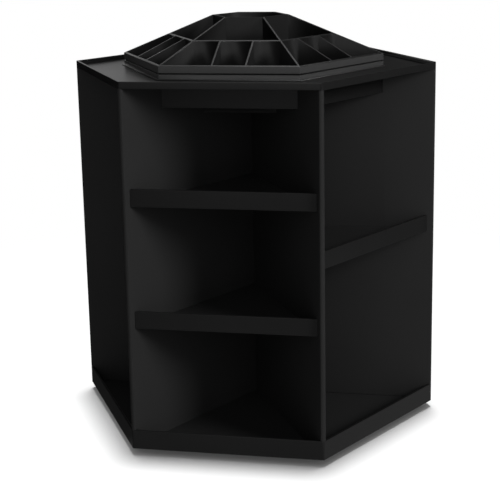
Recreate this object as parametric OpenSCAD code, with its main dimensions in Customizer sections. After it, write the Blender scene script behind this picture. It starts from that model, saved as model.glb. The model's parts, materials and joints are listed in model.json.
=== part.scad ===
// Rotating makeup organizer: a six-sided tower of open bays on a low turntable,
// with a lift-out caddy of small compartments on its deck.
// The tower's corners lie on +X and every 60 degrees round; the front bay faces -Y.

/* [Tower] */
// Width of the tower across its flat faces
body_width = 250; // [230:1:270]
// Height from the underside of the base tray to the top edge of the deck
tower_height = 276.5; // [262:0.5:300]
// Thickness of a partition panel
panel_thick = 4; // [3:0.1:5]
// Radius of the tower's upright corners
corner_radius = 2; // [1:0.1:3]
// Clearance where one moulding slips into or beside another
fit_gap = 0.3; // [0.15:0.05:0.5]

/* [Base tray] */
// Height of the base tray's lip
base_lip_height = 14.5; // [10:0.5:20]
// Thickness of the base tray's lip
base_lip_thick = 2.2; // [1.6:0.1:3]
// Thickness of the base tray's floor
base_floor = 2.5; // [2.2:0.1:3.5]

/* [Shelves] */
// Height of the lower shelf's underside in a three-tier bay, above the base tray's underside
lower_shelf_height = 93.5; // [80:0.5:105]
// Height of the upper shelf's underside in a three-tier bay
upper_shelf_height = 185.5; // [165:0.5:195]
// Height of the single shelf's underside in a two-tier bay
middle_shelf_height = 143; // [120:0.5:160]
// Thickness of a shelf's floor
shelf_floor = 2; // [1.5:0.1:3]
// Height of a shelf's front lip
shelf_lip_height = 13; // [8:0.5:18]
// Thickness of a shelf's front lip
shelf_lip_thick = 2.2; // [1.6:0.1:3]
// Setback of a shelf's lip from the tower's face
shelf_setback = 3.5; // [1:0.1:8]
// Height of the cleats under a shelf
cleat_height = 3; // [2:0.1:5]
// How far a cleat stands out of its panel
cleat_reach = 2.5; // [1.5:0.1:4]
// Distance from the tower's axis to a cleat's inner end
cleat_start = 36; // [25:1:45]
// Distance from the tower's corner to a cleat's outer end
cleat_inset = 38.3; // [30:0.1:50]

/* [Deck] */
// Height of the deck's outer lip
deck_lip_height = 5.2; // [4:0.1:8]
// Thickness of the deck's lip
deck_lip_thick = 2; // [1.5:0.1:3]
// Thickness of the deck's floor
deck_floor = 1.8; // [1.4:0.1:2.5]

/* [Caddy well] */
// Width of the deck all round the well, from its edge to the well's outer face
deck_margin = 35; // [28:0.5:38]
// Wall of the well
well_wall = 1.8; // [1.4:0.1:2.4]
// Depth of the well below the deck's underside
well_depth = 18.5; // [14:0.1:26]
// Height of the well's collar above the deck's top edge
collar_height = 0.6; // [0.2:0.1:3]
// Extra depth of the well's middle step
step_depth = 9; // [4:0.5:12]
// Setback of the middle step inside the caddy's ring of cross walls
step_setback = 4.5; // [0.8:0.1:6]
// Reach of the bead that presses the deck down, outside the collar
bead_reach = 1.2; // [0.8:0.1:2]
// Height of that bead
bead_height = 0.8; // [0.5:0.1:1.5]

/* [Caddy] */
// Height of the caddy's rim above the well's collar
rim_height = 6; // [4:0.1:9]
// Wall of the caddy
caddy_wall = 1.8; // [1.4:0.1:2.2]
// Floor of the caddy
caddy_floor = 1.6; // [1.2:0.1:2]
// Clearance under the caddy's floor, which hangs by its rim
hang_gap = 0.5; // [0.3:0.1:1]
// Rise of the middle cup's rim above the outer rim
caddy_rise = 30; // [22:0.1:40]
// Width of the middle cup across its flat outer faces
cup_width = 52.6; // [46:0.1:60]
// Thickness of the six fins
fin_thick = 1.8; // [1.4:0.1:2.4]
// Thickness of the ring's cross walls
ring_thick = 1.6; // [1.2:0.1:2.2]
// Thickness of the short dividers
divider_thick = 1.6; // [1.2:0.1:2.2]
// Distance between the two dividers of one sector, centre to centre
divider_spacing = 25; // [20:0.1:30]

/* [Turntable] */
// Diameter of the foot plate
foot_diameter = 176; // [164:1:184]
// Thickness of the foot plate
foot_thick = 2; // [1.8:0.1:2.4]
// Height of the rubber pads under the foot plate
pad_height = 1; // [1:0.1:2]
// Diameter of a rubber pad
pad_diameter = 14; // [10:0.5:16]
// Distance from the axis to the middle of a pad
pad_circle = 76; // [70:0.5:78]
// Number of rubber pads
pad_count = 6; // [3:1:8]
// Gap between the foot plate and the swivel plate
race_gap = 1.1; // [1:0.05:1.3]
// Thickness of the swivel plate
swivel_thick = 1.4; // [1.4:0.1:1.8]
// Diameter of the swivel plate
swivel_diameter = 164; // [156:1:166]
// Diameter of a bearing ball
ball_diameter = 3; // [2.6:0.05:3.1]
// Distance from the axis to the balls
race_radius = 66; // [62:0.5:66.5]
// Number of bearing balls
ball_count = 24; // [12:1:30]
// Radial width of the ball cage
cage_width = 9; // [6:0.1:10]
// Thickness of the ball cage
cage_thick = 0.7; // [0.5:0.05:0.8]
// Radius of the centre rivet's shank
rivet_radius = 4; // [3:0.1:5]
// Radius of the centre rivet's heads
rivet_head_radius = 7; // [6:0.1:8]
// Thickness of the rivet's lower head
rivet_lower_head = 0.8; // [0.6:0.05:0.9]
// Thickness of the rivet's upper head
rivet_upper_head = 0.9; // [0.6:0.1:1]

/* [Fasteners] */
// Radius of a screw's shank
screw_radius = 1.1; // [0.9:0.05:1.25]
// Radius of a screw's head
screw_head_radius = 2.2; // [1.9:0.05:2.5]
// Height of a countersunk head
screw_head_height = 1.1; // [0.9:0.05:1.3]
// Depth that a screw bites into a panel's edge
screw_bite = 12; // [8:0.5:16]
// Distance from the axis to the swivel plate's screws
swivel_screw_circle = 45; // [38:0.5:50]
// Distance from the tower's corner to the screw at a panel's outer end
panel_screw_inset = 20.3; // [18:0.1:26]
// Distance from the well's corner to the screw in its floor
well_screw_inset = 24; // [12:0.1:32]
// Height of a pan head
pan_head_height = 1.3; // [1:0.1:1.6]

/* [Hidden] */

// Directions
side_count = 6;
sector = 360 / side_count;
half_sector = sector / 2;
flats_to_corner = 1 / cos(half_sector) / 2;
corner_angles = [for (k = [0 : side_count - 1]) k * sector];
face_angles = [for (k = [0 : side_count - 1]) half_sector + k * sector];

// Small running clearances and cutting overrun
running_gap = 0.05;
lap_gap = 0.1;
axial_gap = 0.1;
over = 1;
arc_steps = 4;
recess_share = 0.55;
recess_width_share = 0.3;

// Levels, from the ground up
pad_top = pad_height;
foot_top = pad_top + foot_thick;
swivel_bottom = foot_top + race_gap;
base_z = swivel_bottom + swivel_thick;
ball_z = (foot_top + swivel_bottom) / 2;
floor_z = base_z + base_floor;
lip_z = base_z + base_lip_height;
deck_top = base_z + tower_height;
deck_bottom = deck_top - deck_lip_height;
deck_floor_z = deck_bottom + deck_floor;
collar_z = deck_top + collar_height;
well_bottom = deck_bottom - well_depth;
well_floor_z = well_bottom + well_wall;
step_bottom = well_bottom - step_depth;
step_floor_z = step_bottom + well_wall;
rim_z = collar_z + rim_height;
peak_z = rim_z + caddy_rise;

// The tower's plan, each as a width across flats
well_width = body_width - 2 * deck_margin;
base_inner = body_width - 2 * base_lip_thick;
deck_inner = body_width - 2 * deck_lip_thick;
deck_hole = well_width + 2 * fit_gap;
bead_width = deck_hole + 2 * bead_reach;

// The caddy's plan, each as a width across flats
ring_width = (well_width + cup_width) / 2;
ring_inner = ring_width - 2 * ring_thick;
step_width = ring_inner - 2 * step_setback;
well_inner = well_width - 2 * well_wall;
tray_outer = well_inner - 2 * fit_gap;
tray_inner = tray_outer - 2 * caddy_wall;
rim_inner = well_width - 2 * caddy_wall;
step_inner = step_width - 2 * well_wall;
sump_outer = step_inner - 2 * fit_gap;
sump_inner = sump_outer - 2 * caddy_wall;
cup_inner = cup_width - 2 * caddy_wall;
ledge_z = collar_z + caddy_wall;
caddy_floor_z = well_floor_z + hang_gap + caddy_floor;
sump_floor_z = step_floor_z + hang_gap + caddy_floor;

// Places on the corner lines, measured from the axis
tower_corner = body_width * flats_to_corner;
cleat_length = tower_corner - cleat_inset - cleat_start;
panel_screw_circle = tower_corner - panel_screw_inset;
well_screw_circle = well_width * flats_to_corner - well_screw_inset;

// The slope of the caddy's six facets, measured square to a face
slope_run = (well_width - cup_width) / 2;
function slope_z(width) = rim_z + caddy_rise * (well_width - width) / (2 * slope_run);

// Thirds of the panels' height at the axis, where they lap across each other
lap_height = (step_bottom - floor_z) / 3;
lap_levels = [floor_z - over, floor_z + lap_height, floor_z + 2 * lap_height, deck_top];

// Bays by the direction they face, with their shelves' heights
front_bay = face_angles[4];
right_bay = face_angles[5];
back_bay = face_angles[1];
rear_left_bay = face_angles[2];
shelf_places = [
    [front_bay, lower_shelf_height], [front_bay, upper_shelf_height], [right_bay, middle_shelf_height],
    [back_bay, lower_shelf_height], [back_bay, upper_shelf_height], [rear_left_bay, middle_shelf_height]
];

black = "#161616";
soft_black = "#1c1c1c";

// A hexagonal prism with sharp corners, sized across its flats
module hex_prism(width, bottom, top) {
    translate([0, 0, bottom])
        cylinder(r = width * flats_to_corner, h = top - bottom, $fn = side_count);
}

// The outline of a hexagon whose corners are arcs
function round_hex_points(width, radius) = [
    for (corner = corner_angles, step = [0 : arc_steps])
        let (turn = corner - half_sector + sector * step / arc_steps)
            (width * flats_to_corner - radius / cos(half_sector)) * [cos(corner), sin(corner)]
            + radius * [cos(turn), sin(turn)]
];

module round_hex_prism(width, bottom, top, radius = corner_radius) {
    translate([0, 0, bottom])
        linear_extrude(top - bottom)
            polygon(round_hex_points(width, radius));
}

// A round bar from one level to another
module disc(radius, bottom, top, facets = 96) {
    translate([0, 0, bottom])
        cylinder(r = radius, h = top - bottom, $fn = facets);
}

// Copies on a circle, each turned to face outwards
module ring_of(count, radius) {
    for (k = [0 : count - 1])
        rotate(k * 360 / count)
            translate([radius, 0, 0])
                children();
}

// The groove in which the balls run
module race() {
    translate([0, 0, ball_z])
        rotate_extrude($fn = 96)
            translate([race_radius, 0])
                circle(r = ball_diameter / 2 + running_gap, $fn = 32);
}

module cross_recess(level, depth) {
    reach = screw_head_radius * recess_share;
    width = screw_head_radius * recess_width_share;
    translate([0, 0, level])
        for (turn = [0, 90])
            rotate(turn)
                translate([-reach, -width / 2, -depth])
                    cube([2 * reach, width, depth + over]);
}

// A countersunk screw that points up, with its head's face at the given level
module flat_screw(level, length) {
    difference() {
        union() {
            disc(screw_radius, level, level + length, 24);
            translate([0, 0, level])
                cylinder(r1 = screw_head_radius, r2 = screw_radius, h = screw_head_height, $fn = 24);
        }
        translate([0, 0, level])
            mirror([0, 0, 1])
                cross_recess(0, screw_head_height / 2);
    }
}

// The hole that such a screw needs
module flat_screw_hole(level, length) {
    disc(screw_radius + running_gap, level - over, level + length, 24);
    translate([0, 0, level])
        cylinder(r1 = screw_head_radius + running_gap, r2 = screw_radius + running_gap,
                 h = screw_head_height, $fn = 24);
    disc(screw_head_radius + running_gap, level - over, level, 24);
}

module rubber_pads() {
    color(soft_black)
        ring_of(pad_count, pad_circle)
            disc(pad_diameter / 2, 0, pad_top, 48);
}

module foot_plate() {
    color(black)
        difference() {
            disc(foot_diameter / 2, pad_top, foot_top, 128);
            race();
            disc(rivet_radius + running_gap, 0, foot_top + over, 48);
        }
}

module centre_rivet() {
    upper_head_z = base_z + axial_gap;
    color("silver") {
        disc(rivet_head_radius, pad_top - rivet_lower_head, pad_top, 48);
        disc(rivet_radius, pad_top - rivet_lower_head, upper_head_z, 48);
        disc(rivet_head_radius, upper_head_z, upper_head_z + rivet_upper_head, 48);
    }
}

module bearing_balls() {
    color("silver")
        ring_of(ball_count, race_radius)
            translate([0, 0, ball_z])
                sphere(r = ball_diameter / 2, $fn = 24);
}

module ball_cage() {
    color("white")
        difference() {
            disc(race_radius + cage_width / 2, ball_z - cage_thick / 2, ball_z + cage_thick / 2);
            disc(race_radius - cage_width / 2, 0, base_z);
            ring_of(ball_count, race_radius)
                disc(ball_diameter / 2 + running_gap, 0, base_z, 24);
        }
}

module swivel_plate() {
    color("silver")
        difference() {
            disc(swivel_diameter / 2, swivel_bottom, base_z, 128);
            race();
            disc(rivet_radius + running_gap, 0, base_z + over, 48);
            ring_of(side_count, swivel_screw_circle)
                flat_screw_hole(swivel_bottom, swivel_thick + over);
        }
}

module swivel_screws() {
    color("silver")
        ring_of(side_count, swivel_screw_circle)
            flat_screw(swivel_bottom, swivel_thick + base_floor + screw_bite);
}

module base_tray() {
    pocket = rivet_upper_head + 2 * axial_gap;
    color(black)
        difference() {
            round_hex_prism(body_width, base_z, lip_z);
            hex_prism(base_inner, floor_z, lip_z + over);
            disc(rivet_head_radius + fit_gap, base_z - over, base_z + pocket, 48);
            ring_of(side_count, swivel_screw_circle)
                disc(screw_radius + running_gap, base_z - over, floor_z + over, 24);
            ring_of(side_count, panel_screw_circle)
                disc(screw_radius + running_gap, base_z - over, floor_z + over, 24);
        }
}

// Pan-head screws that hold the panels' outer ends down on the base tray
module panel_screws() {
    color("silver")
        ring_of(side_count, panel_screw_circle)
            difference() {
                union() {
                    disc(screw_head_radius, base_z - pan_head_height, base_z, 24);
                    disc(screw_radius, base_z - over, floor_z + screw_bite, 24);
                }
                translate([0, 0, base_z - pan_head_height])
                    mirror([0, 0, 1])
                        cross_recess(0, pan_head_height / 2);
            }
}

// The upright slab of one partition, with the given clearance on each side
module slab(angle, gap, bottom, top) {
    rotate(angle)
        translate([-body_width, -panel_thick / 2 - gap, bottom])
            cube([2 * body_width, panel_thick + 2 * gap, top - bottom]);
}

// The cleats of one partition, on the sides that face a bay with shelves
module cleats(angle) {
    for (place = shelf_places, side = [-1, 1]) {
        wall = place[0] + side * half_sector;
        if (abs(cos(wall - angle)) > cos(half_sector))
            rotate(wall)
                mirror([0, side > 0 ? 1 : 0, 0])
                    translate([cleat_start, 0, base_z + place[1] - cleat_height])
                        cube([cleat_length, panel_thick / 2 + cleat_reach, cleat_height]);
    }
}

// One full-width partition. It laps across the two others at the axis: each entry of
// crossings lists the partitions that it gives way to in that third of its height.
module partition_panel(angle, crossings) {
    color(black)
        difference() {
            union() {
                intersection() {
                    slab(angle, 0, floor_z, deck_bottom);
                    union() {
                        hex_prism(base_inner - 2 * fit_gap, floor_z, deck_bottom);
                        round_hex_prism(body_width, lip_z, deck_bottom);
                    }
                }
                cleats(angle);
            }
            hex_prism(deck_hole, well_bottom, deck_bottom + over);
            hex_prism(step_width + 2 * fit_gap, step_bottom, deck_bottom + over);
            for (third = [0 : 2], other = crossings[third])
                slab(other, lap_gap, lap_levels[third], lap_levels[third + 1]);
            for (turn = [0, 180]) rotate(angle + turn) {
                translate([swivel_screw_circle, 0, 0])
                    disc(screw_radius + running_gap, floor_z - over, floor_z + screw_bite, 24);
                translate([panel_screw_circle, 0, 0])
                    disc(screw_radius + running_gap, floor_z - over, floor_z + screw_bite, 24);
                translate([well_screw_circle, 0, 0])
                    disc(screw_radius + running_gap, well_bottom - screw_bite, well_bottom + over, 24);
            }
        }
}

module partition_panel_a() {
    partition_panel(0, [[], [sector, 2 * sector], [sector, 2 * sector]]);
}

module partition_panel_b() {
    partition_panel(sector, [[0], [], [2 * sector]]);
}

module partition_panel_c() {
    partition_panel(2 * sector, [[0, sector], [sector], []]);
}

// One three-cornered shelf with an upright front lip
module shelf(place) {
    gap = panel_thick / 2 + fit_gap;
    front = body_width / 2 - shelf_setback;
    function side_y(x) = x * tan(half_sector) - gap / cos(half_sector);
    function outline(x0, x1) = [[x0, -side_y(x0)], [x1, -side_y(x1)], [x1, side_y(x1)], [x0, side_y(x0)]];
    tip = gap / sin(half_sector) + fit_gap;
    color(black)
        rotate(place[0])
            translate([0, 0, base_z + place[1]]) {
                linear_extrude(shelf_floor)
                    polygon(outline(tip, front));
                linear_extrude(shelf_lip_height)
                    polygon(outline(front - shelf_lip_thick, front));
            }
}

module shelf_front_lower() shelf(shelf_places[0]);
module shelf_front_upper() shelf(shelf_places[1]);
module shelf_right() shelf(shelf_places[2]);
module shelf_back_lower() shelf(shelf_places[3]);
module shelf_back_upper() shelf(shelf_places[4]);
module shelf_rear_left() shelf(shelf_places[5]);

module top_deck() {
    color(black)
        difference() {
            round_hex_prism(body_width, deck_bottom, deck_top);
            hex_prism(deck_inner, deck_floor_z, deck_top + over);
            hex_prism(deck_hole, deck_bottom - over, deck_top);
        }
}

module caddy_well() {
    color(black)
        difference() {
            union() {
                hex_prism(well_width, well_bottom, collar_z);
                hex_prism(step_width, step_bottom, well_floor_z);
                hex_prism(bead_width, deck_floor_z, deck_floor_z + bead_height);
            }
            hex_prism(well_inner, well_floor_z, collar_z + over);
            hex_prism(step_inner, step_floor_z, collar_z);
            ring_of(side_count, well_screw_circle)
                translate([0, 0, well_floor_z])
                    mirror([0, 0, 1])
                        flat_screw_hole(0, well_wall + over);
        }
}

module well_screws() {
    color("silver")
        ring_of(side_count, well_screw_circle)
            translate([0, 0, well_floor_z])
                mirror([0, 0, 1])
                    flat_screw(0, well_wall + screw_bite);
}

module caddy_tray() {
    color(soft_black)
        difference() {
            union() {
                hex_prism(tray_outer, caddy_floor_z - caddy_floor, ledge_z);
                hex_prism(well_width, collar_z, rim_z);
                hex_prism(sump_outer, sump_floor_z - caddy_floor, caddy_floor_z);
            }
            hex_prism(tray_inner, caddy_floor_z, ledge_z + over);
            hex_prism(rim_inner, ledge_z, rim_z + over);
            hex_prism(sump_inner, sump_floor_z, caddy_floor_z + over);
        }
}

// Where a fin of the caddy starts: on the cup's corner line, as far out as the cup is as wide as the fin
fin_start = cup_width * flats_to_corner - fin_thick / 2 * tan(half_sector);

// The middle cup: its outer corners are flat, as wide as the fins that meet them
module caddy_cup() {
    outline = [for (turn = corner_angles, side = [-1, 1])
        fin_start * [cos(turn), sin(turn)] + side * fin_thick / 2 * [-sin(turn), cos(turn)]];
    color(soft_black)
        difference() {
            translate([0, 0, sump_floor_z])
                linear_extrude(peak_z - sump_floor_z)
                    polygon(outline);
            hex_prism(cup_inner, sump_floor_z - over, peak_z + over);
        }
}

// The inside of the caddy's shell: its sump, its main depth and its wider rim
module caddy_inside() {
    hex_prism(sump_inner, sump_floor_z, peak_z);
    hex_prism(tray_inner, caddy_floor_z, peak_z);
    hex_prism(rim_inner, ledge_z, peak_z);
}

// Six fins that run from the cup's corners out to the rim's corners and fall with the slope
module caddy_fins() {
    end = rim_inner * flats_to_corner;
    rim_corner = well_width * flats_to_corner;
    fall = caddy_rise / (rim_corner - cup_width * flats_to_corner);
    color(soft_black)
        for (turn = corner_angles)
            intersection() {
                rotate(turn)
                    translate([0, fin_thick / 2, 0])
                        rotate([90, 0, 0])
                            linear_extrude(fin_thick)
                                polygon([[fin_start, sump_floor_z], [end, sump_floor_z],
                                         [end, rim_z + (rim_corner - end) * fall], [fin_start, peak_z]]);
                caddy_inside();
            }
}

// Cross walls between the fins, which part the inner pockets from the outer ones
module caddy_cross_walls() {
    inner_x = ring_inner / 2;
    outer_x = ring_width / 2;
    top = slope_z(ring_width);
    function end_y(x) = x * tan(half_sector) - fin_thick / 2 / cos(half_sector);
    color(soft_black)
        for (turn = face_angles)
            rotate(turn)
                translate([0, 0, caddy_floor_z])
                    linear_extrude(top - caddy_floor_z)
                        polygon([[inner_x, -end_y(inner_x)], [outer_x, -end_y(outer_x)],
                                 [outer_x, end_y(outer_x)], [inner_x, end_y(inner_x)]]);
}

// Two short dividers in each sector, square to its face, falling with the slope
module caddy_dividers() {
    start = ring_width / 2;
    foot_end = tray_inner / 2;
    end = rim_inner / 2;
    color(soft_black)
        for (turn = face_angles, side = [-1, 1])
            rotate(turn)
                translate([0, side * divider_spacing / 2 + divider_thick / 2, 0])
                    rotate([90, 0, 0])
                        linear_extrude(divider_thick)
                            polygon([[start, caddy_floor_z], [foot_end, caddy_floor_z],
                                     [foot_end, ledge_z], [end, ledge_z],
                                     [end, slope_z(rim_inner)], [start, slope_z(ring_width)]]);
}

rubber_pads();
foot_plate();
centre_rivet();
bearing_balls();
ball_cage();
swivel_plate();
swivel_screws();
base_tray();
panel_screws();
partition_panel_a();
partition_panel_b();
partition_panel_c();
shelf_front_lower();
shelf_front_upper();
shelf_right();
shelf_back_lower();
shelf_back_upper();
shelf_rear_left();
top_deck();
caddy_well();
well_screws();
caddy_tray();
caddy_cup();
caddy_fins();
caddy_cross_walls();
caddy_dividers();
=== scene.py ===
import json
import math

import bmesh
import bpy
from mathutils import Matrix, Vector


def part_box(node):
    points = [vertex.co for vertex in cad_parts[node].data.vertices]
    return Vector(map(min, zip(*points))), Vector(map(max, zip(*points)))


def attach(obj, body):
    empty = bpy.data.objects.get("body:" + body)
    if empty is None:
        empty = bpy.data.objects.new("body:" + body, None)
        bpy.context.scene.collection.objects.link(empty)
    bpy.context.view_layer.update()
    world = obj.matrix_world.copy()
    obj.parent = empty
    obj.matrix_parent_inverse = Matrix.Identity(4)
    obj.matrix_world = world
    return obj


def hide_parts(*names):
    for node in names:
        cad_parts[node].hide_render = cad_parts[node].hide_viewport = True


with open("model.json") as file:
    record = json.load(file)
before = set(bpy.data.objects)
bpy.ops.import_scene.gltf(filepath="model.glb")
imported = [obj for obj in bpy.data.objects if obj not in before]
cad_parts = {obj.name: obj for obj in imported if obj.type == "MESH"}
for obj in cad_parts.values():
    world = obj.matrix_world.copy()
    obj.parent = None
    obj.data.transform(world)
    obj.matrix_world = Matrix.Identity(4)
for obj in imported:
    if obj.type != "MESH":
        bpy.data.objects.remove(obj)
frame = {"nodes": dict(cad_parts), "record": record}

scene = bpy.context.scene
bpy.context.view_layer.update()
mm = 0.001
sharpTurn = math.radians(28)  # an edge that turns by less lies within one surface
flatTurn = math.radians(1.5)  # and by less than this, within one flat face
print("frame loaded:", len(frame["nodes"]), "nodes")


def hexToLinear(code):
    # sRGB hex to the linear colour that Blender's sockets take
    def toLinear(c):
        return c / 12.92 if c <= 0.04045 else ((c + 0.055) / 1.055) ** 2.4
    return [toLinear(int(code[i:i + 2], 16) / 255) for i in (1, 3, 5)] + [1.0]


def addNode(tree, kind, settings=None, values=None, links=None):
    # one node with its settings, its sockets' values and the sockets that feed it; a socket goes by
    # its name, or by its number where names repeat
    node = tree.nodes.new(kind)
    for name, value in (settings or {}).items():
        setattr(node, name, value)
    for name, value in (values or {}).items():
        node.inputs[name].default_value = value
    for name, source in (links or {}).items():
        tree.links.new(source, node.inputs[name])
    return node


def newMaterial(name):
    material = bpy.data.materials.new(name)
    material.use_nodes = True
    tree = material.node_tree
    tree.nodes.clear()
    return material, tree


def perMetre(sizeMm):
    # a pattern's scale from the real size of one of its features
    return 1000 / sizeMm


def mouldedPlastic(name, look):
    # Injection-moulded plastic or rubber: a fine spark-eroded grain takes the edge off the gloss,
    # and slow waves from the melt's flow bend the reflections a little
    material, tree = newMaterial(name)
    place = addNode(tree, "ShaderNodeTexCoord")
    grain = addNode(tree, "ShaderNodeTexNoise", values={
        "Scale": perMetre(look["grainMm"]), "Detail": 2.0, "Roughness": 0.6},
        links={"Vector": place.outputs["Object"]})
    flow = addNode(tree, "ShaderNodeTexNoise", values={
        "Scale": perMetre(look["flowMm"]), "Detail": 2.0, "Roughness": 0.5},
        links={"Vector": place.outputs["Object"]})
    tint = addNode(tree, "ShaderNodeMix", {"data_type": "RGBA"}, values={
        "A": hexToLinear(look["colour"]), "B": hexToLinear(look["flowColour"])},
        links={"Factor": flow.outputs["Fac"]})
    gloss = addNode(tree, "ShaderNodeMapRange", values={
        "To Min": look["roughness"] - look["roughnessSpread"],
        "To Max": look["roughness"] + look["roughnessSpread"]},
        links={"Value": flow.outputs["Fac"]})
    grainBump = addNode(tree, "ShaderNodeBump", values={
        "Strength": look["grainStrength"], "Distance": look["grainDepthMm"] * mm},
        links={"Height": grain.outputs["Fac"]})
    flowBump = addNode(tree, "ShaderNodeBump", values={
        "Strength": look["flowStrength"], "Distance": look["flowDepthMm"] * mm},
        links={"Height": flow.outputs["Fac"], "Normal": grainBump.outputs["Normal"]})
    shader = addNode(tree, "ShaderNodeBsdfPrincipled", values={
        "IOR": look["ior"], "Specular IOR Level": look.get("specularLevel", 0.5)}, links={
        "Base Color": tint.outputs["Result"], "Roughness": gloss.outputs["Result"],
        "Normal": flowBump.outputs["Normal"]})
    addNode(tree, "ShaderNodeOutputMaterial", links={"Surface": shader.outputs["BSDF"]})
    return material


def turnedMetal(name, look):
    # Metal sheet or bar: rolling or turning leaves fine streaks that spread the highlight
    material, tree = newMaterial(name)
    place = addNode(tree, "ShaderNodeTexCoord")
    stretch = addNode(tree, "ShaderNodeMapping", values={"Scale": look["streakStretch"]},
                      links={"Vector": place.outputs["Object"]})
    streak = addNode(tree, "ShaderNodeTexNoise", values={
        "Scale": perMetre(look["streakMm"]), "Detail": 4.0, "Roughness": 0.6},
        links={"Vector": stretch.outputs["Vector"]})
    gloss = addNode(tree, "ShaderNodeMapRange", values={
        "To Min": look["roughness"] - look["roughnessSpread"],
        "To Max": look["roughness"] + look["roughnessSpread"]},
        links={"Value": streak.outputs["Fac"]})
    bump = addNode(tree, "ShaderNodeBump", values={
        "Strength": look["streakStrength"], "Distance": look["streakDepthMm"] * mm},
        links={"Height": streak.outputs["Fac"]})
    shader = addNode(tree, "ShaderNodeBsdfPrincipled", values={
        "Base Color": hexToLinear(look["colour"]), "Metallic": 1.0},
        links={"Roughness": gloss.outputs["Result"], "Normal": bump.outputs["Normal"]})
    addNode(tree, "ShaderNodeOutputMaterial", links={"Surface": shader.outputs["BSDF"]})
    return material


# High-impact polystyrene, near black and satin: flat faces go grey where they mirror light
towerPlastic = {
    "colour": "#0e0e0e", "flowColour": "#111111", "ior": 1.59, "roughness": 0.33, "roughnessSpread": 0.03,
    "specularLevel": 0.06,
    "grainMm": 0.5,  # real grain is about 0.05 mm; drawn coarser so that it shows
    "grainStrength": 0.25, "grainDepthMm": 0.02,
    "flowMm": 60, "flowStrength": 0.3, "flowDepthMm": 0.25,
}
# The same plastic off a duller mould: walls and floors that take soft light and mirror little. On the bays'
# floors its paler colour is painted light, lifting the shade there
panelPlastic = {
    "colour": "#181818", "flowColour": "#1b1b1b", "ior": 1.59, "roughness": 0.5, "roughnessSpread": 0.04,
    "specularLevel": 0.03,
    "grainMm": 0.5,
    "grainStrength": 0.25, "grainDepthMm": 0.02,
    "flowMm": 60, "flowStrength": 0.3, "flowDepthMm": 0.25,
}
# The caddy's own batch: as black, with a little more shine on its thin walls
caddyPlastic = {
    "colour": "#0f0f0f", "flowColour": "#121212", "ior": 1.59, "roughness": 0.4, "roughnessSpread": 0.03,
    "specularLevel": 0.1,
    "grainMm": 0.5,
    "grainStrength": 0.2, "grainDepthMm": 0.02,
    "flowMm": 45, "flowStrength": 0.3, "flowDepthMm": 0.2,
}
# Painted sheen: the outward faces of the caddy's rim and of the collar under it get a paler copy of the black
# plastic, standing in for the light they catch
paintedSheenPlastic = {
    "colour": "#252525", "flowColour": "#292929", "ior": 1.59, "roughness": 0.35, "roughnessSpread": 0.03,
    "specularLevel": 0.1,
    "grainMm": 0.5,
    "grainStrength": 0.1, "grainDepthMm": 0.01,
    "flowMm": 45, "flowStrength": 0.3, "flowDepthMm": 0.2,
}
# Polypropylene of the hidden foot: dull and waxy
footPlastic = {
    "colour": "#101010", "flowColour": "#141414", "ior": 1.49, "roughness": 0.55, "roughnessSpread": 0.04,
    "grainMm": 0.8,
    "grainStrength": 0.5, "grainDepthMm": 0.05,
    "flowMm": 40, "flowStrength": 0.2, "flowDepthMm": 0.2,
}
# Rubber pads: matt, without a highlight
padRubber = {
    "colour": "#151515", "flowColour": "#1b1b1a", "ior": 1.52, "roughness": 0.85, "roughnessSpread": 0.05,
    "grainMm": 0.6,
    "grainStrength": 0.6, "grainDepthMm": 0.06,
    "flowMm": 12, "flowStrength": 0.2, "flowDepthMm": 0.1,
}
# Undyed nylon of the ball cage: milky white
cageNylon = {
    "colour": "#d9d6cb", "flowColour": "#e2e0d8", "ior": 1.53, "roughness": 0.5, "roughnessSpread": 0.04,
    "grainMm": 0.6,
    "grainStrength": 0.3, "grainDepthMm": 0.03,
    "flowMm": 20, "flowStrength": 0.2, "flowDepthMm": 0.1,
}
# Zinc-plated steel plate and screws: cool grey, with the streaks of rolling
zincSteel = {
    "colour": "#b9bcc0", "roughness": 0.34, "roughnessSpread": 0.07,
    "streakMm": 1.2, "streakStretch": (1.0, 9.0, 1.0), "streakStrength": 0.25, "streakDepthMm": 0.02,
}
# Bearing balls: bright, with sharp reflections
ballSteel = {
    "colour": "#c9cbce", "roughness": 0.12, "roughnessSpread": 0.03,
    "streakMm": 2.5, "streakStretch": (1.0, 1.0, 1.0), "streakStrength": 0.05, "streakDepthMm": 0.01,
}

materials = {
    "tower_plastic": mouldedPlastic("black_polystyrene", towerPlastic),
    "panels": mouldedPlastic("black_polystyrene_panels", panelPlastic),
    "caddy_plastic": mouldedPlastic("black_polystyrene_caddy", caddyPlastic),
    # a paler copy of the black plastic: the painted sheen on the rim and the collar
    "band": mouldedPlastic("black_polystyrene_painted_sheen", paintedSheenPlastic),
    "foot_plastic": mouldedPlastic("black_polypropylene", footPlastic),
    "pad_rubber": mouldedPlastic("moulded_rubber", padRubber),
    "cage_nylon": mouldedPlastic("natural_nylon", cageNylon),
    "zinc_steel": turnedMetal("zinc_plated_steel", zincSteel),
    "ball_steel": turnedMetal("polished_steel", ballSteel),
}
print("materials made:", len(materials))


def slotOf(node):
    return next(part["material_slot"] for part in frame["record"]["subparts"] if part["node"] == node)


def bodyOf(node):
    return next(body for body, nodes in frame["record"]["behaviour"]["bodies"].items() if node in nodes)


def giveMaterial(thing, material):
    thing.data.materials.clear()
    thing.data.materials.append(material)


def refinish(thing, material, chosen):
    # gives the faces that chosen picks another finish, from their centre and normal in mm
    thing.data.materials.append(material)
    for face in thing.data.polygons:
        if chosen(face.center / mm, face.normal):
            face.material_index = len(thing.data.materials) - 1


def paintSheenOnBand(thing, low, high, inside, outward=0.3):
    # the faces of one level of the caddy or its collar, where they look away from the axis, get the paler
    # plastic of the painted sheen
    refinish(thing, materials["band"], lambda centre, normal: (
        low < centre.z < high and centre.xy.length > inside
        and normal.xy.dot(centre.xy.normalized()) > outward))


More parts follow.
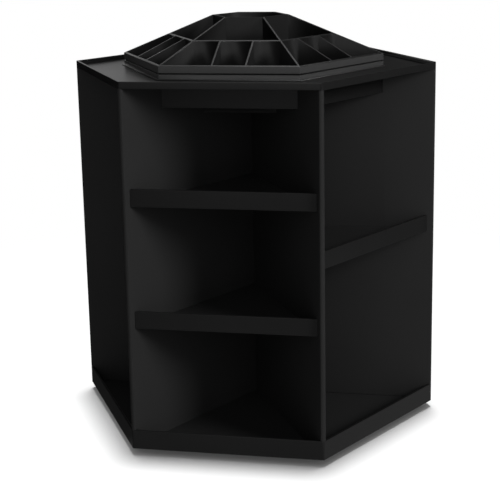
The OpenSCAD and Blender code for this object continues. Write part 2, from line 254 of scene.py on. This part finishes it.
def applyModifiers(thing):
    # bakes the modifiers into the mesh
    graph = bpy.context.evaluated_depsgraph_get()
    mesh = bpy.data.meshes.new_from_object(thing.evaluated_get(graph))
    thing.modifiers.clear()
    thing.data = mesh


def dissolveFlat(thing, mergedMm=0.001):
    # joins the triangles of each flat face, ready for rounding
    mesh = bmesh.new()
    mesh.from_mesh(thing.data)
    bmesh.ops.remove_doubles(mesh, verts=mesh.verts, dist=mergedMm * mm)
    bmesh.ops.dissolve_limit(mesh, angle_limit=flatTurn, verts=mesh.verts, edges=mesh.edges)
    mesh.to_mesh(thing.data)
    mesh.free()


def cleanCopy(node):
    thing = bpy.data.objects.new(node + "_moulding", frame["nodes"][node].data.copy())
    scene.collection.objects.link(thing)
    dissolveFlat(thing)
    return thing


def nearAxis(a, b, reachMm=7):
    # the panels' laps and the shelves' hidden sides end close to the axis
    return min(a.xy.length, b.xy.length) < reachMm


def nearAxisOrUpright(a, b, uprightMm=0.1):
    # a shelf's upright edges stand against the panels
    return nearAxis(a, b) or (a - b).xy.length < uprightMm


def markArrises(thing, keptSharp, shortMm=0.9):
    # sharp outer edges are rounded, but not the short ones round screw holes; inner corners stay sharp
    mesh = bmesh.new()
    mesh.from_mesh(thing.data)
    weight = mesh.edges.layers.float.new("bevel_weight_edge")
    for edge in mesh.edges:
        turn = edge.calc_face_angle_signed() if len(edge.link_faces) == 2 else 0
        longEnough = edge.calc_length() > shortMm * mm
        ends = [vert.co / mm for vert in edge.verts]
        rounded = turn > sharpTurn and longEnough and not keptSharp(*ends)
        edge[weight] = 1.0 if rounded else 0.0
        edge.smooth = rounded or abs(turn) < sharpTurn
    mesh.to_mesh(thing.data)
    mesh.free()


def roundEdges(thing, radiusMm, segments, keptSharp):
    # a small radius on every arris; the flat faces keep their own normals, so they shade flat
    markArrises(thing, keptSharp)
    bevel = thing.modifiers.new("edges", "BEVEL")
    bevel.width = radiusMm * mm
    bevel.segments = segments
    bevel.limit_method = "WEIGHT"
    bevel.use_clamp_overlap = False
    bevel.miter_outer = "MITER_ARC"
    applyModifiers(thing)
    for face in thing.data.polygons:
        face.use_smooth = True
    flat = thing.modifiers.new("normals", "WEIGHTED_NORMAL")
    flat.mode = "FACE_AREA"
    flat.weight = 100  # the largest face alone decides
    flat.keep_sharp = True
    applyModifiers(thing)


# Moulded pieces get the small radius that a mould leaves on every arris, in mm
arris = {
    "base_tray": 0.8, "top_deck": 0.6, "caddy_well": 0.25,
    "partition_panel_a": 0.5, "partition_panel_b": 0.5, "partition_panel_c": 0.5,
    "shelf_front_lower": 0.25, "shelf_front_upper": 0.25, "shelf_right": 0.25,
    "shelf_back_lower": 0.25, "shelf_back_upper": 0.25, "shelf_rear_left": 0.25,
}
arrisSegments = 2

# Each came from its own mould, so their finishes differ a little
finish = {"partition_panel_a": "panels", "partition_panel_b": "panels", "partition_panel_c": "panels"}
collar = {"node": "caddy_well", "heightMm": 4.5, "insideMm": 88, "overMm": 1}
# the floors down in the bays get the panels' paler plastic: painted light that lifts their shade
paintedLightFloors = {"pieces": ("shelf", "base"), "belowRimMm": 3, "facingUp": 0.9}

for nodeName, radius in arris.items():
    piece = cleanCopy(nodeName)
    roundEdges(piece, radius, arrisSegments, nearAxisOrUpright if nodeName.startswith("shelf") else nearAxis)
    giveMaterial(piece, materials[finish.get(nodeName, slotOf(nodeName))])
    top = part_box(nodeName)[1][2] / mm
    if nodeName.startswith(paintedLightFloors["pieces"]):  # their floors are as matt as the panels, and paler: painted light that lifts the shade in the bays
        refinish(piece, materials["panels"], lambda centre, normal: (
            normal.z > paintedLightFloors["facingUp"] and abs(centre.z - top) > paintedLightFloors["belowRimMm"]))
    if nodeName == collar["node"]:
        # the collar's outward faces get the painted sheen
        paintSheenOnBand(piece, top - collar["heightMm"], top + collar["overMm"], collar["insideMm"])
    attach(piece, bodyOf(nodeName))
    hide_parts(nodeName)
print("mouldings rounded:", len(arris))

# The caddy is one moulding: a six-sided shell that rises to the cup, with 25 pockets sunk in it.
# Widths across the flat faces, heights and walls in mm; each height is over the ground
caddy = {
    "rimWidth": 180.0, "cupWidth": 52.6, "trayWidth": 175.8, "sumpWidth": 99.9,
    "rimWall": 1.8, "cupWall": 1.8, "finWall": 1.8, "crossWall": 1.6, "crossWidth": 116.3,
    "dividerWall": 1.6, "dividerSpacing": 25.0,
    "floorWall": 1.6, "collar": 0.6, "rimHeight": 6.0, "rise": 30.0,
    "grooveHeight": 0.9, "grooveDepth": 1.0,  # the shadow line between the rim and the collar
    "arris": 0.35, "arrisSegments": 3,
    "cutOver": 5, "cutInto": 0.01,  # the pockets' cutters end above the cup and start just inside its face
    "merged": 0.02,  # points as close as this become one
    "levelMargin": 0.1, "bandDepth": 0.5,  # slack for picking faces and edges by where they lie
}
caddy["towerTop"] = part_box("top_deck")[1][2] / mm
caddy["trayFloor"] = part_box("caddy_cross_walls")[0][2] / mm
caddy["sumpFloor"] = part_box("caddy_cup")[0][2] / mm


def loft(mesh, sections):
    # a closed block from outlines of as many points, each with its height, in mm
    rows = [[mesh.verts.new((x * mm, y * mm, z * mm)) for x, y in outline] for outline, z in sections]
    mesh.faces.new(rows[0][::-1])
    mesh.faces.new(rows[-1])
    for low, high in zip(rows, rows[1:]):
        for i in range(len(low)):
            j = (i + 1) % len(low)
            mesh.faces.new((low[i], low[j], high[j], high[i]))


def steppedPocket(mesh, turn, near, far, levels, sideLow, sideHigh):
    # a pocket from near the axis to far: far holds the reach of its lower and its upper part, levels
    # the floor, the step and the top, and the sides give y for an x
    nearX, (lowX, highX), (floor, step, top) = near, far, levels
    c, s = math.cos(math.radians(turn)), math.sin(math.radians(turn))

    def corner(x, y, z):
        return mesh.verts.new(((x * c - y * s) * mm, (x * s + y * c) * mm, z * mm))

    rows = []
    for side in (sideLow, sideHigh):
        rows.append([corner(nearX, side(nearX), floor), corner(lowX, side(lowX), floor),
                     corner(lowX, side(lowX), step), corner(highX, side(highX), step),
                     corner(highX, side(highX), top), corner(nearX, side(nearX), top)])
    mesh.faces.new(rows[0])
    mesh.faces.new(rows[1][::-1])
    for i in range(len(rows[0])):
        j = (i + 1) % len(rows[0])
        mesh.faces.new((rows[0][i], rows[1][i], rows[1][j], rows[0][j]))


def hexagon(width):
    reach = width / math.sqrt(3)
    return [(reach * math.cos(math.radians(a)), reach * math.sin(math.radians(a))) for a in range(0, 360, 60)]


def meshObject(name, build):
    mesh = bmesh.new()
    build(mesh)
    bmesh.ops.recalc_face_normals(mesh, faces=mesh.faces)
    data = bpy.data.meshes.new(name)
    mesh.to_mesh(data)
    mesh.free()
    thing = bpy.data.objects.new(name, data)
    scene.collection.objects.link(thing)
    return thing


def cutWith(thing, cutter):
    cut = thing.modifiers.new("cut", "BOOLEAN")
    cut.object = cutter
    cut.operation = "DIFFERENCE"
    cut.solver = "EXACT"
    applyModifiers(thing)
    bpy.data.objects.remove(cutter)


def buildCaddy(look):
    rimBottom = look["towerTop"] + look["collar"]
    rimTop = rimBottom + look["rimHeight"]
    peak = rimTop + look["rise"]
    over = peak + look["cutOver"]
    ledge = rimBottom + look["rimWall"]
    wall = look["rimWall"]
    rim, tray, sump, cup = (look[part + "Width"] / 2 for part in ("rim", "tray", "sump", "cup"))
    cupInside = hexagon(2 * cup - 2 * look["cupWall"])
    margin = look["levelMargin"]
    grooved = rim - look["grooveDepth"]
    cross = look["crossWidth"] / 2
    divider = look["dividerSpacing"] / 2
    halfDivider = look["dividerWall"] / 2
    finSide = look["finWall"] / 2 / math.cos(math.radians(30))

    def fin(sign):
        return lambda x: sign * (x * math.tan(math.radians(30)) - finSide)

    def straight(y):
        return lambda x: y

    def atCupEdge(a, b):
        # the fins run into the cup's outer edge, so it stays sharp
        return min(a.z, b.z) > peak - margin and (a + b).xy.length / 2 > cup - look["cupWall"] / 2

    def shell(mesh):
        loft(mesh, [(hexagon(2 * sump), look["sumpFloor"] - look["floorWall"]),
                    (hexagon(2 * sump), look["trayFloor"] - look["floorWall"]),
                    (hexagon(2 * tray), look["trayFloor"] - look["floorWall"]),
                    (hexagon(2 * tray), rimBottom), (hexagon(2 * grooved), rimBottom),
                    (hexagon(2 * grooved), rimBottom + look["grooveHeight"]),
                    (hexagon(2 * rim), rimBottom + look["grooveHeight"]),
                    (hexagon(2 * rim), rimTop), (hexagon(2 * cup), peak)])

    def pockets(mesh):
        loft(mesh, [(cupInside, look["sumpFloor"]), (cupInside, over)])
        for turn in range(30, 390, 60):
            steppedPocket(mesh, turn, cup - look["cutInto"], (sump - wall, cross - look["crossWall"]),
                          (look["sumpFloor"], look["trayFloor"], over), fin(-1), fin(1))
            for sideLow, sideHigh in ((straight(halfDivider - divider), straight(divider - halfDivider)),
                                      (fin(-1), straight(-divider - halfDivider)),
                                      (straight(divider + halfDivider), fin(1))):
                steppedPocket(mesh, turn, cross, (tray - wall, rim - wall),
                              (look["trayFloor"], ledge, over), sideLow, sideHigh)

    moulding = meshObject("caddy_moulding", shell)
    cutWith(moulding, meshObject("caddy_pockets", pockets))
    dissolveFlat(moulding, look["merged"])
    roundEdges(moulding, look["arris"], look["arrisSegments"], atCupEdge)
    giveMaterial(moulding, materials["caddy_plastic"])
    # the rim's outward faces get the painted sheen
    paintSheenOnBand(moulding, rimBottom + look["grooveHeight"] + margin, rimTop - margin, rim - look["bandDepth"])
    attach(moulding, "caddy")
    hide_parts("caddy_tray", "caddy_cup", "caddy_fins", "caddy_cross_walls", "caddy_dividers")


buildCaddy(caddy)
print("caddy moulded")

for nodeName, thing in frame["nodes"].items():
    giveMaterial(thing, materials[slotOf(nodeName)])


# The camera stands where the photograph was taken from, a little to the right of the tower's front
camera = {
    "azimuth": 10.655, "distance": 0.9571, "height": 0.3930, "yaw": 0.175, "pitch": -12.665, "roll": -1.074,
    "focalPixels": 1215.4, "axisRow": 190, "imagePixels": 500, "sensorMm": 36,
}


def makeCamera(view):
    azimuth = math.radians(view["azimuth"])
    heading = azimuth + math.radians(view["yaw"])
    pitch = math.radians(view["pitch"])
    roll = math.radians(view["roll"])
    ahead = Vector((-math.sin(heading) * math.cos(pitch),
                    math.cos(heading) * math.cos(pitch), math.sin(pitch)))
    level = ahead.cross(Vector((0, 0, 1))).normalized()
    upright = level.cross(ahead)
    right = level * math.cos(roll) + upright * math.sin(roll)
    up = upright * math.cos(roll) - level * math.sin(roll)
    data = bpy.data.cameras.new("camera")
    data.sensor_width = view["sensorMm"]
    data.lens = view["focalPixels"] / view["imagePixels"] * view["sensorMm"]
    data.shift_y = (view["axisRow"] - view["imagePixels"] / 2) / view["imagePixels"]
    thing = bpy.data.objects.new("camera", data)
    turn = Matrix((right, up, -ahead)).transposed()
    away = view["distance"]
    place = Vector((away * math.sin(azimuth), -away * math.cos(azimuth), view["height"]))
    thing.matrix_world = Matrix.Translation(place) @ turn.to_4x4()
    scene.collection.objects.link(thing)
    scene.camera = thing


makeCamera(camera)

# The studio: a white sweep lit from above, a soft key from the right, a wide fill beside the camera,
# one high behind that draws the upper edges, and three low ones for the sides that the photograph
# doesn't show. Levels are what a white face square to the light would send back, 1 being white
studio = {
    "aimHeight": 0.15, "sunDistance": 2.0,
    "floorRadius": 6.0, "floorSegments": 64, "floorColour": "#f7f7f7", "floorBounce": "#d8d8d8",
    "floorOwnWhite": 0.03,
    "glossFloorNear": 0.5, "glossFloorFar": 0.03, "glossFloorFrom": 0.2, "glossFloorTo": 0.7,
    "glossShadeAzimuth": 45.0, "glossShadeTo": 0.06, "glossShade": 0.08,  # the shadow's side of the floor
    "whiteFrom": 0.30, "whiteTo": 0.60,
    "topLevel": 0.25, "topAzimuth": 0, "topElevation": 90, "topAngle": 10.0,
    "paperLevel": 0.95, "paperAzimuth": 175, "paperElevation": 87.4, "paperAngle": 6.6,
    "keyLevel": 1.4, "keySize": 0.55, "keyAzimuth": 64, "keyElevation": 25, "keyDistance": 1.7,
    "fillLevel": 0.65, "fillSize": 1.8, "fillAzimuth": 12, "fillElevation": 16, "fillDistance": 1.6,
    "highLevel": 0.22, "highSize": 0.6, "highAzimuth": 180, "highElevation": 62, "highDistance": 1.6,
    "backLevel": 1.0, "backSize": 0.9, "backAzimuth": -150, "backElevation": 12, "backDistance": 2.0,
    "sideLevel": 0.5, "sideSize": 0.9, "sideAzimuth": 176, "sideElevation": 12, "sideDistance": 2.0,
    "leftLevel": 0.12, "leftSize": 0.9, "leftAzimuth": -120, "leftElevation": 12, "leftDistance": 2.0,
    "worldDiffuse": 0.3,
    "glossBright": 1.0, "glossDark": 0.02, "glossHeading": -16.0, "glossSpread": 0.10,
    "glossEndFrom": 0.26, "glossEndTo": 0.46,
}


def stand(thing, name, look, distance):
    # a light aimed at the object's middle; azimuth runs from the front, to the right
    a, e = math.radians(look[name + "Azimuth"]), math.radians(look[name + "Elevation"])
    away = Vector((math.sin(a) * math.cos(e), -math.cos(a) * math.cos(e), math.sin(e)))
    thing.location = Vector((0, 0, look["aimHeight"])) + away * distance
    thing.rotation_euler = (-away).to_track_quat("-Z", "Y").to_euler()
    scene.collection.objects.link(thing)


def linkLight(thing, receiver, state):
    # as a flag on a stand keeps a studio light off one thing, or on it alone
    kept = bpy.data.collections.new(thing.name + "_flag")
    kept.objects.link(receiver)
    thing.light_linking.receiver_collection = kept
    kept.collection_objects[0].light_linking.link_state = state


def softLight(name, look, flaggedOff):
    distance = look[name + "Distance"]
    data = bpy.data.lights.new(name, "AREA")
    data.shape = "DISK"
    data.size = look[name + "Size"]
    data.energy = look[name + "Level"] * (math.pi * distance) ** 2  # the level holds at the aim
    thing = bpy.data.objects.new(name + "_light", data)
    stand(thing, name, look, distance)
    linkLight(thing, flaggedOff, "EXCLUDE")
    return thing


def downLight(name, look):
    data = bpy.data.lights.new(name, "SUN")
    data.angle = math.radians(look[name + "Angle"])
    data.energy = look[name + "Level"] * math.pi
    thing = bpy.data.objects.new(name + "_light", data)
    stand(thing, name, look, look["sunDistance"])
    return thing


def mirrorRay(tree, ray):
    # 1 for what is seen in a reflection or through glass
    return addNode(tree, "ShaderNodeMath", {"operation": "MAXIMUM"}, links={
        0: ray.outputs["Is Glossy Ray"], 1: ray.outputs["Is Transmission Ray"]}).outputs["Value"]


def easedRange(tree, source, fromRange, toRange):
    # a value that eases from one end of toRange to the other as its source crosses fromRange
    return addNode(tree, "ShaderNodeMapRange", {"interpolation_type": "SMOOTHSTEP"}, values={
        "From Min": fromRange[0], "From Max": fromRange[1], "To Min": toRange[0], "To Max": toRange[1]},
        links={"Value": source}).outputs["Result"]


def makeFloor(look):
    data = bpy.data.meshes.new("floor")
    mesh = bmesh.new()
    bmesh.ops.create_circle(mesh, cap_ends=True, radius=look["floorRadius"], segments=look["floorSegments"])
    mesh.to_mesh(data)
    mesh.free()
    thing = bpy.data.objects.new("floor", data)
    scene.collection.objects.link(thing)
    material, tree = newMaterial("white_sweep")
    ray = addNode(tree, "ShaderNodeLightPath")
    place = addNode(tree, "ShaderNodeTexCoord")
    distance = addNode(tree, "ShaderNodeVectorMath", {"operation": "LENGTH"},
                       links={0: place.outputs["Object"]}).outputs["Value"]
    # what the camera sees: paper with the object's shadow, and further out plain white
    beyond = easedRange(tree, distance, (look["whiteFrom"], look["whiteTo"]), (look["floorOwnWhite"], 1.0))
    share = addNode(tree, "ShaderNodeMath", {"operation": "MULTIPLY"},
                    links={0: ray.outputs["Is Camera Ray"], 1: beyond})
    tone = addNode(tree, "ShaderNodeMix", {"data_type": "RGBA"}, values={
        "A": hexToLinear(look["floorBounce"]), "B": hexToLinear(look["floorColour"])},
        links={"Factor": ray.outputs["Is Camera Ray"]})
    paper = addNode(tree, "ShaderNodeBsdfDiffuse", links={"Color": tone.outputs["Result"]})
    white = addNode(tree, "ShaderNodeEmission", values={"Color": (1, 1, 1, 1), "Strength": 1.0})
    shown = addNode(tree, "ShaderNodeMixShader", links={
        "Fac": share.outputs["Value"], 1: paper.outputs["BSDF"], 2: white.outputs["Emission"]})
    # what the object mirrors: pale paper close by, and dark where its own shadow falls
    fading = easedRange(tree, distance, (look["glossFloorFrom"], look["glossFloorTo"]),
                        (look["glossFloorNear"], look["glossFloorFar"]))
    azimuth = math.radians(look["glossShadeAzimuth"])
    litSide = addNode(tree, "ShaderNodeVectorMath", {"operation": "DOT_PRODUCT"}, values={
        1: (math.sin(azimuth), -math.cos(azimuth), 0)}, links={0: place.outputs["Object"]}).outputs["Value"]
    shaded = easedRange(tree, litSide, (0.0, look["glossShadeTo"]), (look["glossShade"], 1.0))
    level = addNode(tree, "ShaderNodeMath", {"operation": "MULTIPLY"}, links={0: fading, 1: shaded})
    image = addNode(tree, "ShaderNodeEmission", values={"Color": (1, 1, 1, 1)},
                    links={"Strength": level.outputs["Value"]})
    mix = addNode(tree, "ShaderNodeMixShader", links={
        "Fac": mirrorRay(tree, ray), 1: shown.outputs["Shader"], 2: image.outputs["Emission"]})
    addNode(tree, "ShaderNodeOutputMaterial", links={"Surface": mix.outputs["Shader"]})
    giveMaterial(thing, material)
    return thing


def makeWorld(look):
    # white to the camera; reflections see a dark room with one bright band, which runs from beside the
    # camera up over the object and down behind its left
    world = bpy.data.worlds.new("studio")
    scene.world = world
    world.use_nodes = True
    tree = world.node_tree
    tree.nodes.clear()
    ray = addNode(tree, "ShaderNodeLightPath")
    heading = math.radians(look["glossHeading"])
    place = addNode(tree, "ShaderNodeTexCoord")
    leftward = (-math.cos(heading), math.sin(heading), 0)
    across = addNode(tree, "ShaderNodeVectorMath", {"operation": "DOT_PRODUCT"}, values={1: leftward},
                     links={0: place.outputs["Generated"]}).outputs["Value"]
    rising = easedRange(tree, across, (-look["glossSpread"], look["glossSpread"]),
                        (0.0, look["glossBright"] - look["glossDark"]))
    ending = easedRange(tree, across, (look["glossEndFrom"], look["glossEndTo"]), (1.0, 0.0))
    band = addNode(tree, "ShaderNodeMath", {"operation": "MULTIPLY_ADD"}, values={2: look["glossDark"]},
                    links={0: rising, 1: ending})
    forObject = addNode(tree, "ShaderNodeMix", values={"A": look["worldDiffuse"]},
                        links={"Factor": mirrorRay(tree, ray), "B": band.outputs["Value"]})
    strength = addNode(tree, "ShaderNodeMix", values={"B": 1.0},
                       links={"Factor": ray.outputs["Is Camera Ray"], "A": forObject.outputs["Result"]})
    back = addNode(tree, "ShaderNodeBackground", values={"Color": (1, 1, 1, 1)},
                   links={"Strength": strength.outputs["Result"]})
    addNode(tree, "ShaderNodeOutputWorld", links={"Surface": back.outputs["Background"]})


floor = makeFloor(studio)
makeWorld(studio)
linkLight(downLight("top", studio), floor, "EXCLUDE")
linkLight(downLight("paper", studio), floor, "INCLUDE")
for lamp in ("key", "fill", "high"):
    softLight(lamp, studio, floor)
for behind in ("back", "side", "left"):  # they only open up the sides that the photograph doesn't show
    softLight(behind, studio, floor).visible_glossy = False
scene.view_settings.view_transform = "Standard"
print("camera, lights and floor set")
